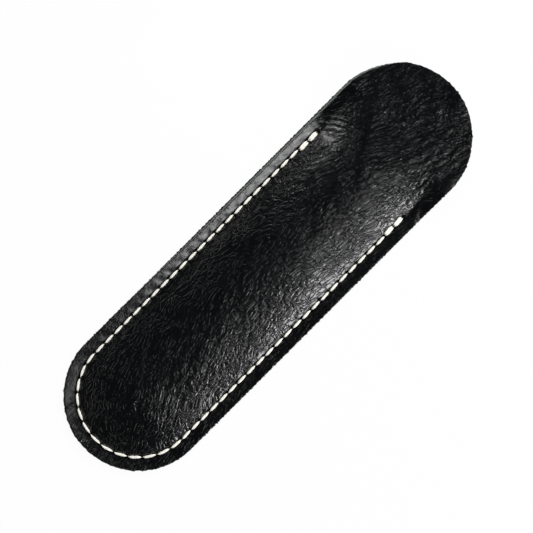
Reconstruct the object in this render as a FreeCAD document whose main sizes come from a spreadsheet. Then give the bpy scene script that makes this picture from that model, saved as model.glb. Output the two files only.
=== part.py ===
import FreeCAD, Part
import math
import os

import Sketcher
from FreeCAD import Placement, Rotation, Vector

# A single pen sleeve: two leather panels of one rounded outline, sewn together in a U.
# X runs from the closed foot (-X) to the mouth (+X), Z up from the face that it lies on. Millimetres.

doc = FreeCAD.newDocument("PenSleeve")

# Driving sizes, each with its own name
SIZES = {
    "sleeve_length": 165.0,
    "sleeve_width": 48.0,
    "leather_thickness": 2.0,
    "pocket_rise": 7.5,
    "base_fillet": 2.0,
    "seam_inset": 4.4,
    "mouth_length": 40.5,
    "stitch_pitch": 4.25,
    "foot_pitch": 4.7,
    "thread_width": 0.9,
    "channel_depth": 0.45,
    "bend_margin": 2.6,
    "bend_gap": 0.3,
    "lip_lift": 0.3,
    "mouth_gap": 4.6,
    "mouth_rise": 0.8,
    "thread_fit": 0.1,
}

sheet = doc.addObject("Spreadsheet::Sheet", "Sizes")
for row, (alias, number) in enumerate(SIZES.items(), start=1):
    sheet.set(f"A{row}", alias)
    sheet.set(f"B{row}", str(number))
    sheet.setAlias(f"B{row}", alias)
doc.recompute()

# Derived sizes, written as expressions on the sheet
END_RADIUS = "Sizes.sleeve_width / 2"
FOOT_X = "(Sizes.sleeve_width - Sizes.sleeve_length) / 2"
TIP_X = "(Sizes.sleeve_length - Sizes.sleeve_width) / 2"
SEAM_RADIUS = f"({END_RADIUS} - Sizes.seam_inset)"
SEAM_END_X = "(Sizes.sleeve_length / 2 - Sizes.mouth_length)"
BEND_X = f"({SEAM_END_X} + Sizes.bend_margin)"
PANEL_END_X = f"({BEND_X} - Sizes.bend_gap / 2)"
LIP_START_X = f"({BEND_X} + Sizes.bend_gap / 2)"
SEAM_TOP_Z = "(2 * Sizes.leather_thickness)"

# Two legs of the strand stand side by side in each hole, and four where the seam is sewn twice
LEG_SHIFT = "(Sizes.thread_width / 2 + Sizes.thread_fit)"
HOLE_LENGTH = "(2 * Sizes.thread_width + 4 * Sizes.thread_fit)"
HOLE_WIDTH = "(Sizes.thread_width + 2 * Sizes.thread_fit)"
END_HOLE_RADIUS = f"({SEAM_RADIUS} - {LEG_SHIFT})"
CHANNEL_END_X = f"({SEAM_END_X} + {HOLE_LENGTH} / 2 + Sizes.thread_fit)"
CHANNEL_OUTER = f"({SEAM_RADIUS} + {HOLE_WIDTH} / 2 + Sizes.thread_fit)"
CHANNEL_INNER = f"({END_HOLE_RADIUS} - {HOLE_LENGTH} / 2 - Sizes.thread_fit)"
BACK_CHANNEL_DEPTH = "(Sizes.thread_width + 2 * Sizes.thread_fit)"
POCKET_HALF_WIDTH = f"({CHANNEL_INNER} - Sizes.thread_fit)"

# Whole stitches along each straight side and, a little longer, round the foot; two at each end are sewn twice
SIDE_LENGTH = f"({SEAM_END_X} - {FOOT_X})"
SIDE_COUNT = f"round({SIDE_LENGTH} / Sizes.stitch_pitch)"
FOOT_COUNT = f"round(pi * {SEAM_RADIUS} / Sizes.foot_pitch)"
SIDE_PITCH = f"({SIDE_LENGTH} / {SIDE_COUNT})"
FOOT_STEP = f"(180 deg / {FOOT_COUNT})"
LOCKED_STITCHES = 2


def size(expression):
    """The present value of an expression on the sizes, as a plain number."""
    found = sheet.evalExpression(expression)
    return float(getattr(found, "Value", found))


def new_body(name):
    """An empty body whose label names its file."""
    body = doc.addObject("PartDesign::Body", name)
    body.Label = name
    return body


def origin_plane(body, role):
    """One of a body's own origin planes."""
    return next(item for item in body.Origin.OriginFeatures if item.Role == role)


def new_sketch(body, name, role, offset="0"):
    """A sketch on an origin plane of a body, moved along the plane's normal."""
    sketch = body.newObject("Sketcher::SketchObject", name)
    sketch.AttachmentSupport = [(origin_plane(body, role), "")]
    sketch.MapMode = "FlatFace"
    sketch.AttachmentOffset = Placement(Vector(0, 0, size(offset)), Rotation())
    sketch.setExpression("AttachmentOffset.Base.z", offset)
    return sketch


def line(sketch, start, end):
    return sketch.addGeometry(Part.LineSegment(Vector(*start, 0), Vector(*end, 0)), False)


def arc(sketch, centre, radius, start_deg, end_deg):
    circle = Part.Circle(Vector(*centre, 0), Vector(0, 0, 1), radius)
    curve = Part.ArcOfCircle(circle, math.radians(start_deg), math.radians(end_deg))
    return sketch.addGeometry(curve, False)


def hold(sketch, kind, *references):
    """A geometric constraint without a size."""
    sketch.addConstraint(Sketcher.Constraint(kind, *references))


def measure(sketch, kind, references, expression):
    """A dimension tied to the sizes by an expression."""
    index = sketch.addConstraint(Sketcher.Constraint(kind, *references, size(expression)))
    sketch.setExpression(f"Constraints[{index}]", expression)


def add_feature(body, kind, name, **settings):
    """A feature at the end of a body's history."""
    feature = body.newObject(f"PartDesign::{kind}", name)
    for key, setting in settings.items():
        if isinstance(setting, str):
            feature.setExpression(key, setting)
        else:
            setattr(feature, key, setting)
    doc.recompute()
    return feature


# Outline of a flat panel: straight sides, one round end and one straight end


def panel_outline(body, name, centre_x, straight_x):
    sketch = new_sketch(body, name, "XY_Plane")
    centre = size(centre_x)
    straight = size(straight_x)
    radius = size(END_RADIUS)
    quarter = 90 if straight > centre else -90
    round_end = arc(sketch, (centre, 0), radius, quarter, quarter + 180)
    turn = math.copysign(radius, quarter)
    first = line(sketch, (centre, turn), (straight, turn))
    across = line(sketch, (straight, turn), (straight, -turn))
    last = line(sketch, (straight, -turn), (centre, -turn))
    hold(sketch, "Tangent", round_end, 1, first, 1)
    hold(sketch, "Coincident", first, 2, across, 1)
    hold(sketch, "Coincident", across, 2, last, 1)
    hold(sketch, "Tangent", last, 2, round_end, 2)
    hold(sketch, "Horizontal", first)
    hold(sketch, "Vertical", across)
    hold(sketch, "PointOnObject", round_end, 3, -1)
    measure(sketch, "Radius", (round_end,), END_RADIUS)
    measure(sketch, "DistanceX", (-1, 1, round_end, 3), centre_x)
    measure(sketch, "DistanceX", (-1, 1, first, 2), straight_x)
    return sketch


# Half section of the formed front leather: pocket crown, foot of the rise, flat seam, even thickness


def half_section(body, name, plane_x, lift, rise):
    sketch = new_sketch(body, name, "YZ_Plane", plane_x)
    thick = size("Sizes.leather_thickness")
    fillet = size("Sizes.base_fillet")
    half = size(END_RADIUS)
    reach = size(POCKET_HALF_WIDTH)
    under = size(f"Sizes.leather_thickness + {lift}")
    slope = 2 * math.degrees(math.atan2(size(rise), reach))
    crown = reach / math.sin(math.radians(slope)) - fillet - thick
    low = (0, under + size(rise) - crown)
    high = (reach, under + thick + fillet)

    crown_out = arc(sketch, low, crown + thick, 90 - slope, 90)
    foot_out = arc(sketch, high, fillet, 270 - slope, 270)
    seam_out = line(sketch, (reach, under + thick), (half, under + thick))
    edge = line(sketch, (half, under + thick), (half, under))
    seam_in = line(sketch, (half, under), (reach, under))
    foot_in = arc(sketch, high, fillet + thick, 270 - slope, 270)
    crown_in = arc(sketch, low, crown, 90 - slope, 90)
    axis = line(sketch, (0, under + size(rise)), (0, under + size(rise) + thick))

    hold(sketch, "Tangent", crown_out, 1, foot_out, 1)
    hold(sketch, "Tangent", foot_out, 2, seam_out, 1)
    hold(sketch, "Coincident", seam_out, 2, edge, 1)
    hold(sketch, "Coincident", edge, 2, seam_in, 1)
    hold(sketch, "Tangent", seam_in, 2, foot_in, 2)
    hold(sketch, "Tangent", foot_in, 1, crown_in, 1)
    hold(sketch, "Coincident", crown_in, 2, axis, 1)
    hold(sketch, "Coincident", axis, 2, crown_out, 2)
    hold(sketch, "Horizontal", seam_out)
    hold(sketch, "Horizontal", seam_in)
    hold(sketch, "Vertical", edge)
    hold(sketch, "Vertical", axis)
    hold(sketch, "PointOnObject", axis, 1, -2)
    hold(sketch, "PointOnObject", crown_out, 3, -2)
    hold(sketch, "Coincident", crown_in, 3, crown_out, 3)
    hold(sketch, "Coincident", foot_in, 3, foot_out, 3)
    measure(sketch, "DistanceX", (-1, 1, edge, 1), END_RADIUS)
    measure(sketch, "DistanceX", (-1, 1, seam_out, 1), POCKET_HALF_WIDTH)
    measure(sketch, "DistanceY", (-1, 1, seam_in, 1), f"Sizes.leather_thickness + {lift}")
    measure(sketch, "DistanceY", (edge, 2, edge, 1), "Sizes.leather_thickness")
    measure(sketch, "DistanceY", (seam_in, 1, crown_in, 2), rise)
    measure(sketch, "Radius", (foot_out,), "Sizes.base_fillet")
    return sketch


# Stitch channel: a U-shaped band that follows the seam


def cut_channel(body, level, depth, upward):
    sketch = new_sketch(body, "ChannelSketch", "XY_Plane", level)
    foot = size(FOOT_X)
    end = size(CHANNEL_END_X)
    inner = size(CHANNEL_INNER)
    outer = size(CHANNEL_OUTER)
    inside = arc(sketch, (foot, 0), inner, 90, 270)
    outside = arc(sketch, (foot, 0), outer, 90, 270)
    ends = []
    for point, sign in ((1, 1), (2, -1)):
        near = line(sketch, (foot, sign * inner), (end, sign * inner))
        close = line(sketch, (end, sign * inner), (end, sign * outer))
        far = line(sketch, (end, sign * outer), (foot, sign * outer))
        hold(sketch, "Tangent", inside, point, near, 1)
        hold(sketch, "Coincident", near, 2, close, 1)
        hold(sketch, "Coincident", close, 2, far, 1)
        hold(sketch, "Tangent", far, 2, outside, point)
        hold(sketch, "Horizontal", near)
        hold(sketch, "Vertical", close)
        ends.append(near)
    hold(sketch, "PointOnObject", inside, 3, -1)
    hold(sketch, "Coincident", outside, 3, inside, 3)
    measure(sketch, "Radius", (inside,), CHANNEL_INNER)
    measure(sketch, "Radius", (outside,), CHANNEL_OUTER)
    measure(sketch, "DistanceX", (-1, 1, inside, 3), FOOT_X)
    for near in ends:
        measure(sketch, "DistanceX", (-1, 1, near, 2), CHANNEL_END_X)
    add_feature(body, "Pocket", "Channel", Profile=sketch, Length=depth, Reversed=upward)


# Needle holes: four-sided cuts along the seam


def draw_hole(sketch, centre_x, centre_y, length, width):
    """A rectangle with its sides along the sketch axes, held by two opposite corners."""
    low = (f"{centre_x} - {length} / 2", f"{centre_y} - {width} / 2")
    high = (f"{centre_x} + {length} / 2", f"{centre_y} + {width} / 2")
    left, bottom = (size(edge) for edge in low)
    right, top = (size(edge) for edge in high)
    corners = [(left, bottom), (right, bottom), (right, top), (left, top)]
    sides = [line(sketch, a, b) for a, b in zip(corners, corners[1:] + corners[:1])]
    for side, following in zip(sides, sides[1:] + sides[:1]):
        hold(sketch, "Coincident", side, 2, following, 1)
    for level, upright in zip(sides[0::2], sides[1::2]):
        hold(sketch, "Horizontal", level)
        hold(sketch, "Vertical", upright)
    for side, edges in ((sides[0], low), (sides[2], high)):
        measure(sketch, "DistanceX", (-1, 1, side, 1), edges[0])
        measure(sketch, "DistanceY", (-1, 1, side, 1), edges[1])


def pierce_sides(body, name, level, start_x, aside, width, count):
    """Holes in both straight sides, repeated from start_x towards the foot."""
    sketch = new_sketch(body, f"{name}Sketch", "XY_Plane", level)
    for centre_y in (aside, f"-{aside}"):
        draw_hole(sketch, start_x, centre_y, HOLE_LENGTH, width)
    pocket = add_feature(body, "Pocket", name, Profile=sketch, Length="Sizes.leather_thickness")
    row = add_feature(
        body,
        "LinearPattern",
        f"{name}Row",
        Originals=[pocket],
        Direction=(sketch, ["H_Axis"]),
        Reversed=True,
        Length=f"{SIDE_PITCH} * ({count} - 1)",
        Occurrences=count,
    )
    body.Tip = row
    doc.recompute()


def pierce_foot(body, level):
    """Holes round the closed foot, between the last holes of the two sides."""
    sketch = new_sketch(body, "FootHoleSketch", "XY_Plane", level)
    sketch.AttachmentOffset = Placement(Vector(size(FOOT_X), 0, size(level)), Rotation(90, 0, 0))
    sketch.setExpression("AttachmentOffset.Base.x", FOOT_X)
    sketch.setExpression("AttachmentOffset.Rotation.Angle", f"90 deg + {FOOT_STEP}")
    draw_hole(sketch, SEAM_RADIUS, "0", HOLE_WIDTH, HOLE_LENGTH)
    pocket = add_feature(body, "Pocket", "FootHole", Profile=sketch, Length="Sizes.leather_thickness")
    ring = add_feature(
        body,
        "PolarPattern",
        "FootHoleRing",
        Originals=[pocket],
        Axis=(sketch, ["N_Axis"]),
        Angle=f"{FOOT_STEP} * ({FOOT_COUNT} - 2)",
        Occurrences=f"{FOOT_COUNT} - 1",
    )
    body.Tip = ring
    doc.recompute()


def pierce(body, level):
    """Every needle hole of a panel: wide ones where the seam is sewn twice, narrow ones elsewhere."""
    ends = f"{LOCKED_STITCHES + 1}"
    next_x = f"({SEAM_END_X} - {ends} * {SIDE_PITCH})"
    pierce_sides(body, "EndHole", level, SEAM_END_X, END_HOLE_RADIUS, HOLE_LENGTH, ends)
    pierce_sides(body, "SideHole", level, next_x, SEAM_RADIUS, HOLE_WIDTH, f"{SIDE_COUNT} + 1 - {ends}")
    pierce_foot(body, level)


# Back leather: flat, with the channel of the back stitches on its underside


def make_back_panel():
    body = new_body("back_panel")
    outline = panel_outline(body, "BackOutline", FOOT_X, PANEL_END_X)
    add_feature(body, "Pad", "BackSheet", Profile=outline, Length="Sizes.leather_thickness")
    cut_channel(body, "0", BACK_CHANNEL_DEPTH, True)
    pierce(body, "Sizes.leather_thickness")
    return body


def make_back_lip():
    body = new_body("back_lip")
    outline = panel_outline(body, "BackLipOutline", TIP_X, LIP_START_X)
    add_feature(body, "Pad", "BackLipSheet", Profile=outline, Length="Sizes.leather_thickness")
    return body


# Front leather: the formed pocket, sewn down on three sides, and its free lip


def make_front_panel():
    body = new_body("front_panel")
    section = half_section(body, "FrontSection", FOOT_X, "0", "Sizes.pocket_rise")
    side = add_feature(body, "Pad", "FrontSide", Profile=section, Length=f"{PANEL_END_X} - {FOOT_X}")
    plane = origin_plane(body, "XZ_Plane")
    other = add_feature(body, "Mirrored", "FrontSides", Originals=[side], MirrorPlane=(plane, [""]))
    body.Tip = other
    doc.recompute()
    axis = (section, ["V_Axis"])
    add_feature(body, "Revolution", "FrontFoot", Profile=section, ReferenceAxis=axis, Angle="180 deg")
    cut_channel(body, SEAM_TOP_Z, "Sizes.channel_depth", False)
    pierce(body, SEAM_TOP_Z)
    return body


def make_front_lip():
    body = new_body("front_lip")
    root = half_section(body, "LipRoot", LIP_START_X, "Sizes.lip_lift", "Sizes.pocket_rise")
    tongue = half_section(body, "LipTongue", TIP_X, "Sizes.mouth_gap", "Sizes.mouth_rise")
    doc.recompute()
    fade = add_feature(body, "AdditiveLoft", "LipFade", Profile=root, Sections=[tongue], Ruled=True)
    side = add_feature(body, "Pad", "LipSide", Profile=tongue, Length=END_RADIUS)
    plane = origin_plane(body, "XZ_Plane")
    other = add_feature(body, "Mirrored", "LipSides", Originals=[fade, side], MirrorPlane=(plane, [""]))
    body.Tip = other
    doc.recompute()
    round_tip(body)
    return body


def round_tip(body):
    """Trim the lip to the half circle of the outline."""
    above = "Sizes.pocket_rise + Sizes.mouth_gap + 4 * Sizes.leather_thickness"
    past_tip = "Sizes.sleeve_length / 2 + Sizes.leather_thickness"
    past_side = f"{END_RADIUS} + Sizes.leather_thickness"
    sketch = new_sketch(body, "TipTrim", "XY_Plane", above)
    centre = size(TIP_X)
    radius = size(END_RADIUS)
    beyond = size(past_tip)
    outside = size(past_side)
    round_end = arc(sketch, (centre, 0), radius, -90, 90)
    corners = [(centre, radius), (centre, outside), (beyond, outside)]
    corners += [(beyond, -outside), (centre, -outside), (centre, -radius)]
    frame = [line(sketch, a, b) for a, b in zip(corners, corners[1:])]
    for side, following in zip(frame, frame[1:]):
        hold(sketch, "Coincident", side, 2, following, 1)
    hold(sketch, "Coincident", round_end, 2, frame[0], 1)
    hold(sketch, "Coincident", frame[-1], 2, round_end, 1)
    for upright in frame[0::2]:
        hold(sketch, "Vertical", upright)
    for level in frame[1::2]:
        hold(sketch, "Horizontal", level)
    hold(sketch, "PointOnObject", round_end, 3, -1)
    measure(sketch, "Radius", (round_end,), END_RADIUS)
    measure(sketch, "DistanceX", (-1, 1, round_end, 3), TIP_X)
    measure(sketch, "DistanceX", (-1, 1, frame[0], 1), TIP_X)
    measure(sketch, "DistanceX", (-1, 1, frame[2], 1), past_tip)
    measure(sketch, "DistanceY", (-1, 1, frame[1], 1), past_side)
    measure(sketch, "DistanceY", (frame[3], 1, -1, 1), past_side)
    add_feature(body, "Pocket", "RoundTip", Profile=sketch, Length=above)


# Thread: one unbroken strand on each face, sewn down one side, round the foot and up the other


def seam_holes():
    """Centre of every needle hole and the seam's direction there, from one end of the U to the other."""
    foot = size(FOOT_X)
    radius = size(SEAM_RADIUS)
    side_count = round(size(SIDE_COUNT))
    foot_count = round(size(FOOT_COUNT))
    holes = []
    for index in range(side_count):
        x = size(SEAM_END_X) - index * size(SIDE_PITCH)
        holes.append((Vector(x, radius, 0), Vector(-1, 0, 0)))
    for index in range(foot_count + 1):
        turn = math.pi * (0.5 + index / foot_count)
        centre = Vector(foot + radius * math.cos(turn), radius * math.sin(turn), 0)
        holes.append((centre, Vector(-math.sin(turn), math.cos(turn), 0)))
    for centre, _ in reversed(holes[:side_count]):
        holes.append((Vector(centre.x, -centre.y, 0), Vector(1, 0, 0)))
    return holes


def stitch(start, end, aside, face_z, link_z):
    """Corners of one stitch: out of a hole, along the face, into the next hole."""
    shift = size(LEG_SHIFT)
    forward = 1 if (end[0] - start[0]).dot(start[1]) > 0 else -1
    first = start[0] + start[1] * (forward * shift) + side_of(start) * aside
    last = end[0] - end[1] * (forward * shift) + side_of(end) * aside
    lock = Vector(0, 0, link_z)
    face = Vector(0, 0, face_z)
    return [first + lock, first + face, last + face, last + lock]


def side_of(hole):
    """Horizontal direction square to the seam at a hole, towards the pocket."""
    return Vector(0, 0, 1).cross(hole[1])


def seam_points(face_z, link_z):
    """The whole route of one thread: back over the first stitches, along the seam, back over the last."""
    holes = seam_holes()
    last = len(holes) - 1
    beside = size(f"2 * {LEG_SHIFT}")
    points = []
    for index in range(LOCKED_STITCHES, 0, -1):
        points += stitch(holes[index], holes[index - 1], beside, face_z, link_z)
    for index in range(last):
        points += stitch(holes[index], holes[index + 1], 0, face_z, link_z)
    for index in range(last, last - LOCKED_STITCHES, -1):
        points += stitch(holes[index], holes[index - 1], beside, face_z, link_z)
    return points


def strand(points):
    """A four-sided strand along a chain of points, mitred at each turn."""
    corner = size("Sizes.thread_width / sqrt(2)")
    ahead = [(b - a).normalize() for a, b in zip(points, points[1:])]
    across = ahead[0].cross(ahead[1]).normalize()
    upright = ahead[0].cross(across)
    turns = [math.radians(45 + 90 * step) for step in range(4)]
    ring = [points[0] + (across * math.cos(turn) + upright * math.sin(turn)) * corner for turn in turns]
    rings = [ring]
    for index, way in enumerate(ahead):
        mitre = way + ahead[min(index + 1, len(ahead) - 1)]
        target = points[index + 1]
        ring = [spot + way * ((target - spot).dot(mitre) / way.dot(mitre)) for spot in ring]
        rings.append(ring)
    faces = [Part.Face(Part.makePolygon(end + end[:1])) for end in (rings[0], rings[-1])]
    for near, far in zip(rings, rings[1:]):
        for here, there in zip(range(4), (1, 2, 3, 0)):
            loop = [near[here], near[there], far[there], far[here], near[here]]
            faces.append(Part.Face(Part.makePolygon(loop)))
    shell = Part.Compound(faces)
    shell.sewShape()
    solid = Part.Solid(shell.Shells[0])
    if solid.Volume < 0:
        solid.reverse()
    return solid


def make_thread(name, face_z, link_z):
    thread = doc.addObject("Part::Feature", name)
    thread.Label = name
    thread.Shape = strand(seam_points(size(face_z), size(link_z)))
    return thread


half_thread = "Sizes.thread_width / 2"
channel_floor = f"({SEAM_TOP_Z} - Sizes.channel_depth)"
needle_face = f"({channel_floor} + {half_thread} + Sizes.thread_fit)"
bobbin_face = f"({BACK_CHANNEL_DEPTH} - {half_thread} - Sizes.thread_fit)"
lock_level = f"({needle_face} + {bobbin_face}) / 2"
needle_link = f"{lock_level} + {half_thread} + Sizes.thread_fit"
bobbin_link = f"{lock_level} - {half_thread} - Sizes.thread_fit"

parts = [make_back_panel(), make_back_lip(), make_front_panel(), make_front_lip()]
parts.append(make_thread("needle_thread", needle_face, needle_link))
parts.append(make_thread("bobbin_thread", bobbin_face, bobbin_link))
doc.recompute()

# Every object must be sound before anything is written
for item in doc.Objects:
    if "Invalid" in item.State or "Error" in item.State:
        raise RuntimeError(f"{item.Name} did not rebuild: {item.State}")

os.makedirs("parts", exist_ok=True)
for part in parts:
    shape = part.Shape
    if shape.isNull() or not shape.isValid():
        raise RuntimeError(f"{part.Label} has no sound shape")
    shape.exportStep(f"parts/{part.Label}.step")
    print(part.Label, len(shape.Solids), "solid", f"{shape.Volume:.1f} mm3", shape.BoundBox)
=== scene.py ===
# %% [markdown]
# # A leather sleeve for one pen
# Two panels of black grained leather, cut to the same stadium outline, are sewn together along a U. Past
# the ends of the seam the two panels part and make a mouth. This lesson dresses the bare solids of the
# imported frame: each leather becomes one continuous sheet, and each thread a twisted cord that dives
# through the leather.

# %% Load the frame and keep its box
import math

import bmesh
import bpy
import numpy as np
from mathutils import Matrix, Vector


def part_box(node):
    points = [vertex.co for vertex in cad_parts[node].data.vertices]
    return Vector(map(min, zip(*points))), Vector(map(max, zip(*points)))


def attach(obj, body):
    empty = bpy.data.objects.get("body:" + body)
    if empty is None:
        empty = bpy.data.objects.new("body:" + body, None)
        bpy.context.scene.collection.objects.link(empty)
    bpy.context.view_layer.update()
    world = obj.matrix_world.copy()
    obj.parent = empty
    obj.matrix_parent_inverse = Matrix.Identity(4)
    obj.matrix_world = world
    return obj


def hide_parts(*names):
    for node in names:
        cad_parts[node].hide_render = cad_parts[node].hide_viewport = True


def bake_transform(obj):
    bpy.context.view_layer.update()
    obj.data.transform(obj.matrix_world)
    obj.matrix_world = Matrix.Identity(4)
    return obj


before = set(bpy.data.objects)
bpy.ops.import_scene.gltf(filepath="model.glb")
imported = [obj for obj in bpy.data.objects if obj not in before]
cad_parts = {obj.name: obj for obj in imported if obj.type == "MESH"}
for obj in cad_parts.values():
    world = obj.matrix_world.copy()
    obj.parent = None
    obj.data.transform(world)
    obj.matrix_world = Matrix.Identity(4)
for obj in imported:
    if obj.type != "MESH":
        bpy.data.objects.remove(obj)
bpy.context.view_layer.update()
MM = 0.001

# %% [markdown]
# ## Sizes that the frame already knows
# Nothing is measured twice: the outline, the leather's thickness, the height of the pocket and the seam
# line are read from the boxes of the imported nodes. Only what a box can't tell, such as the number of
# stitches or how far the mouth stands open, is written here.

# %% Outline, leather and seam
back_low, back_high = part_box("back_panel")
front_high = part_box("front_panel")[1]
lip_low, lip_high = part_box("front_lip")
needle_low, needle_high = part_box("needle_thread")

LEATHER = back_high.z
END_RADIUS = back_high.y
FOOT_X = back_low.x + END_RADIUS
TIP_X = lip_high.x - END_RADIUS
LIP_X = lip_low.x
POCKET_RISE = front_high.z - 2 * LEATHER
POCKET_REACH = 19.3 * MM
MOUTH_GAP = 4.6 * MM
TONGUE_RISE = 0.8 * MM

THREAD = 0.9 * MM
LEG_SHIFT = 0.55 * MM
SEAM_RADIUS = needle_high.y - THREAD / 2
SEAM_END_X = needle_high.x + LEG_SHIFT - THREAD / 2
SIDE_STITCHES = 24
FOOT_STITCHES = 13
STITCHES = 2 * SIDE_STITCHES + FOOT_STITCHES
SIDE_PITCH = (SEAM_END_X - FOOT_X) / SIDE_STITCHES
print("seam ends at", round(SEAM_END_X / MM, 2), "mm, stitch", round(SIDE_PITCH / MM, 3), "mm")

# %% [markdown]
# ## Forms as functions of place
# Every face of the leather is a height over the plan: give it x and y, and it returns z. Whole arrays go
# in and come out, so a change of the grid never touches a form. Two helpers are used everywhere: a smooth
# step from 0 to 1, and a field of random creases.

# %% Smooth step and random creases
CREASE_WAVES = 60
LENGTH_SCATTER = 0.35


def smooth(low, high, value):
    """Runs from 0 at low to 1 at high, level at both ends: three t squared less two t cubed."""
    t = np.clip((value - low) / (high - low), 0, 1)
    return t * t * (3 - 2 * t)


def crinkle(across, along, wavelength, stretch, seed):
    """A random wavy field of about unit height: plane waves whose lengths scatter about one wavelength are
    added, and each wave leans a little, so that creases run about `stretch` wavelengths before they end."""
    draw = np.random.default_rng(seed)
    lengths = wavelength * np.exp(draw.normal(0, LENGTH_SCATTER, CREASE_WAVES))
    leans = draw.normal(0, 1, CREASE_WAVES) / stretch
    starts = draw.uniform(0, 2 * np.pi, CREASE_WAVES)
    field = np.zeros(np.shape(across))
    for length, lean, start in zip(lengths, leans, starts):
        field += np.cos(2 * np.pi * (across + lean * along) / length + start)
    return field / math.sqrt(CREASE_WAVES / 2)


# %% [markdown]
# ## The pocket's section
# A pen pushes the front panel into an arch that grows steeper all the way down to the seam, where the
# stitches sink it: a power a little above two has that shape. The arch turns round the closed foot, where
# it is held flatter, and past the seam it fades into a nearly flat tongue that stands a little off the
# back panel: the mouth.

# %% Arch and front form
FULLNESS = 2.2
FOOT_FALL = 0.20
FALL_FROM_X = -5 * MM
FALL_TO_X = -62 * MM
SEAM_SINK = 0.80 * MM
BASE_ROUND = 0.25 * MM
FADE_FROM_X = SEAM_END_X + 0.8 * MM
FADE_TO_X = SEAM_END_X + 7 * MM
SIDE_BLEND = 6 * MM
EDGE_FROM_Y = 8 * MM
EDGE_TO_Y = 19 * MM
RAMP_FROM_MIDDLE = LIP_X - 3 * MM
RAMP_FROM_EDGE = LIP_X + 1 * MM
RAMP_TO_MIDDLE = TIP_X + 5 * MM
RAMP_TO_EDGE = TIP_X + 2 * MM


def crown_distance(x, y):
    """Distance from the crown line, which runs along the middle and ends at the foot's centre."""
    return np.hypot(np.minimum(x - FOOT_X, 0), y)


def sewn(x):
    """1 beside the seam, fading to 0 past its last stitch."""
    return 1 - smooth(FADE_FROM_X, FADE_TO_X, x)


def on_left(y):
    """0 on the right half, seen with the mouth ahead, and 1 on the left half."""
    return smooth(-SIDE_BLEND, SIDE_BLEND, y)


def mouth_opening(x, y):
    """0 on the pocket and 1 on the tongue. Beside the edges the ramp between them starts later and is
    shorter."""
    at_edge = smooth(EDGE_FROM_Y, EDGE_TO_Y, np.abs(y))
    ramp_from = RAMP_FROM_MIDDLE + (RAMP_FROM_EDGE - RAMP_FROM_MIDDLE) * at_edge
    ramp_to = RAMP_TO_MIDDLE + (RAMP_TO_EDGE - RAMP_TO_MIDDLE) * at_edge
    return smooth(ramp_from, ramp_to, x)


def front_form(x, y):
    """The front panel without its relief, above its flat place on the back panel: the rise and the seam's
    sink times one less a power of the distance from the crown line, faded to the lifted tongue at the
    mouth."""
    opened = mouth_opening(x, y)
    rise = POCKET_RISE * (1 - FOOT_FALL * smooth(FALL_FROM_X, FALL_TO_X, x))
    rise = rise + (TONGUE_RISE - rise) * opened
    sink = SEAM_SINK * sewn(x)
    out = np.minimum(crown_distance(x, y) / SEAM_RADIUS, 1)
    return MOUTH_GAP * opened + (rise + sink) * (1 - out**FULLNESS) - sink


# %% [markdown]
# ## The seam's valley
# A lockstitch pulls the leather down. The allowance outside it tilts inwards like a gutter, which is why
# one side of the real sleeve catches the light along its whole edge. Each needle hole is a small pit, and
# between the holes the leather puckers.

# %% Place along the seam and its relief
LEFT_FLARE = 1.00 * MM
RIGHT_FLARE = 0.10 * MM
FLARE_BLEND = 12 * MM
CLIMB_ROUND = 0.1
FOOT_EASE = 0.3
EASE_FROM_X = -15 * MM
EASE_TO_X = -60 * MM
PARTING = 0.55 * MM
PARTING_FROM = 0.8 * MM
GROOVE_DEPTH = 0.30 * MM
GROOVE_HALF = 0.62 * MM
RING_X = 34.8 * MM
RING_Y = 9.0 * MM
DRAWN_RADIUS = 16.4 * MM
RING_RADIUS = 18.2 * MM
HOLE_DEPTH = 0.80 * MM
HOLE_ALONG = 0.62 * MM
HOLE_ACROSS = 0.58 * MM
PUCKER = 0.04 * MM
PUCKER_OUT = 1.5 * MM
PUCKER_REACH = 1.0 * MM
PUCKER_UNEVEN = 0.7
PUCKER_RUN = 2.3


def seam_distance(x, y):
    """Distance outwards from the seam line."""
    return crown_distance(x, y) - SEAM_RADIUS


def stitch_number(x, y):
    """Place along the seam, counted in stitches: whole at each needle hole."""
    turned = np.degrees(np.arctan2(y, x - FOOT_X)) % 360
    round_foot = SIDE_STITCHES + FOOT_STITCHES * (turned - 90) / 180
    down_left = (SEAM_END_X - x) / SIDE_PITCH
    up_right = SIDE_STITCHES + FOOT_STITCHES + (x - FOOT_X) / SIDE_PITCH
    return np.where(x < FOOT_X, round_foot, np.where(y > 0, down_left, up_right))


def seam_point(number, inward):
    """Plan place and outward direction on the seam line at a stitch number, moved inwards by some
    distance."""
    down_left = number < SIDE_STITCHES
    round_foot = (number >= SIDE_STITCHES) & (number <= STITCHES - SIDE_STITCHES)
    turned = np.radians(90 + 180 * np.clip((number - SIDE_STITCHES) / FOOT_STITCHES, 0, 1))
    left_x = SEAM_END_X - number * SIDE_PITCH
    right_x = FOOT_X + (number - STITCHES + SIDE_STITCHES) * SIDE_PITCH
    start = np.where(down_left, left_x, np.where(round_foot, FOOT_X, right_x))
    out = np.stack([np.cos(turned), np.sin(turned)], axis=-1)
    radius = SEAM_RADIUS - inward
    return np.stack([start + radius * out[:, 0], radius * out[:, 1]], axis=-1), out


def hole_pits(number, outward):
    """Pits at the needle holes: a rounded bump of the distance along and across the seam from the next
    hole."""
    nearest = np.clip(np.round(number), 0, STITCHES)
    along = (number - nearest) * SIDE_PITCH
    return np.exp(-((along / HOLE_ALONG) ** 4) - (outward / HOLE_ACROSS) ** 4)


def from_ring(x, y):
    """Distance from the centre of the curves round the seam's end, the same on both sides."""
    return np.hypot(x - RING_X, np.abs(y) - RING_Y)


def drawn_in(x, y):
    """1 where the stitches draw the allowance in: beside the seam and, past its last stitch, inside the
    curved fold."""
    return np.where(x < RING_X, 1, 1 - smooth(DRAWN_RADIUS, RING_RADIUS, from_ring(x, y)))


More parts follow.
